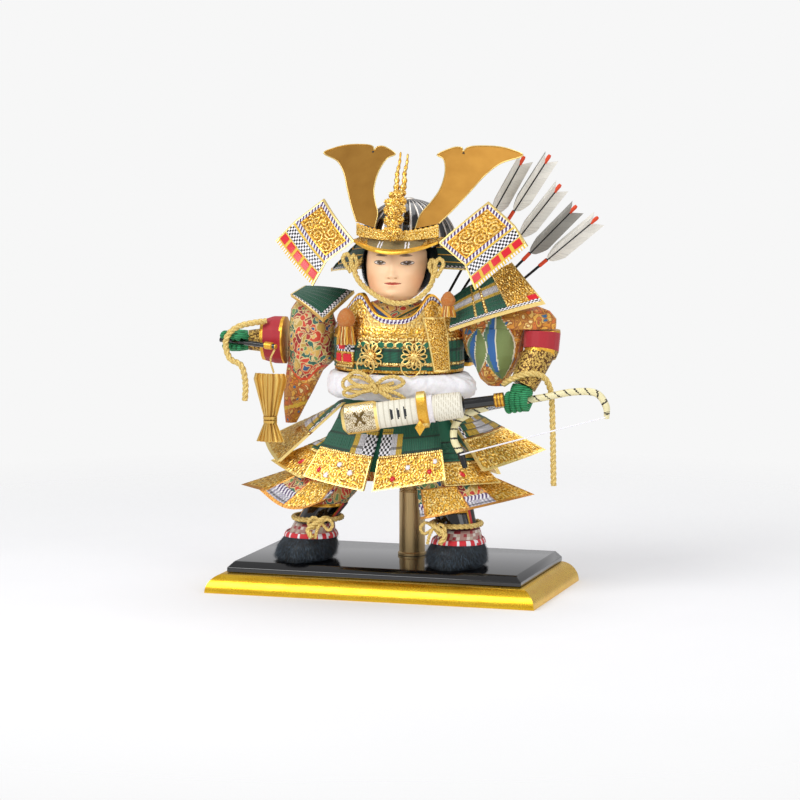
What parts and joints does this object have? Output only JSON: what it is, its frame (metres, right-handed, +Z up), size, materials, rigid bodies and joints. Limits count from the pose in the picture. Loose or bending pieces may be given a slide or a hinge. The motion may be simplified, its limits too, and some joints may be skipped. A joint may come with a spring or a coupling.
{
  "type": "samurai doll",
  "caption": "Display doll of a standing samurai in laced armour on a two-board stand, with horned helmet, bow, sword and arrows.",
  "frame": {"origin": "centre of the stand's underside", "axes": "+Z up, the doll faces -Y, its right hand is on the -X side"},
  "size_m": [0.3637, 0.1642, 0.399],
  "materials": {
    "gold_lacquer": "gloss gold lacquer",
    "black_lacquer": "mirror-gloss black lacquer",
    "brushed_bronze": "brushed bronze",
    "black_fur": "short black fur",
    "brocade": "woven brocade in red, green, gold and blue",
    "gold_cord": "braided pale gold cord",
    "gold_leather": "stamped gold leather",
    "gilt_plate": "bright gilt relief",
    "matt_gold": "satin gilt",
    "green_lacing": "green silk lacing over gilt lames",
    "white_silk": "white silk",
    "mail_cloth": "gold mail on cloth with a red cuff",
    "green_glove": "green cloth",
    "face_paint": "satin skin-coloured paint",
    "feather": "white vanes on a dark shaft",
    "wrapped_cane": "cane bound in cream and black strips"
  },
  "bodies": {
    "root": {"arrow_1": "feather", "arrow_2": "feather", "arrow_3": "feather", "arrow_4": "feather", "arrow_5": "feather", "baton_stick": "black_lacquer", "baton_streamers": "matt_gold", "bow": "wrapped_cane", "bow_string": "feather", "chin_cord": "gold_cord", "crest": "gilt_plate", "cuirass": "gold_leather", "head": "face_paint", "helmet_bowl": "black_lacquer", "helmet_visor": "gilt_plate", "horn_band": "gilt_plate", "left_ankle_rope": "gold_cord", "left_arm_guard": "mail_cloth", "left_chest_plate": "gilt_plate", "left_hand": "green_glove", "left_helmet_wing": "gilt_plate", "left_horn": "matt_gold", "left_leg": "brocade", "left_rosette": "gilt_plate", "left_shoe": "black_fur", "left_shoulder_guard": "green_lacing", "left_sleeve": "brocade", "left_thigh_guard": "brocade", "left_wrist_cord": "gold_cord", "neck_guard": "green_lacing", "quiver": "black_lacquer", "right_ankle_rope": "gold_cord", "right_arm_guard": "mail_cloth", "right_chest_plate": "gilt_plate", "right_hand": "green_glove", "right_helmet_wing": "gilt_plate", "right_horn": "matt_gold", "right_leg": "brocade", "right_rosette": "gilt_plate", "right_shoe": "black_fur", "right_shoulder_guard": "green_lacing", "right_sleeve": "brocade", "right_thigh_guard": "brocade", "right_wrist_cord": "gold_cord", "sash": "white_silk", "sash_cord": "gold_cord", "scabbard": "black_lacquer", "skirt_core": "brocade", "stand_lower_board": "gold_lacquer", "stand_upper_board": "black_lacquer", "support_post": "brushed_bronze", "sword_hilt": "white_silk", "tasset_back": "green_lacing", "tasset_front_left": "green_lacing", "tasset_front_right": "green_lacing", "tasset_inner_left": "green_lacing", "tasset_inner_right": "green_lacing", "tasset_side_left": "green_lacing", "tasset_side_right": "green_lacing", "torso": "brocade"}
  },
  "joints": []
}
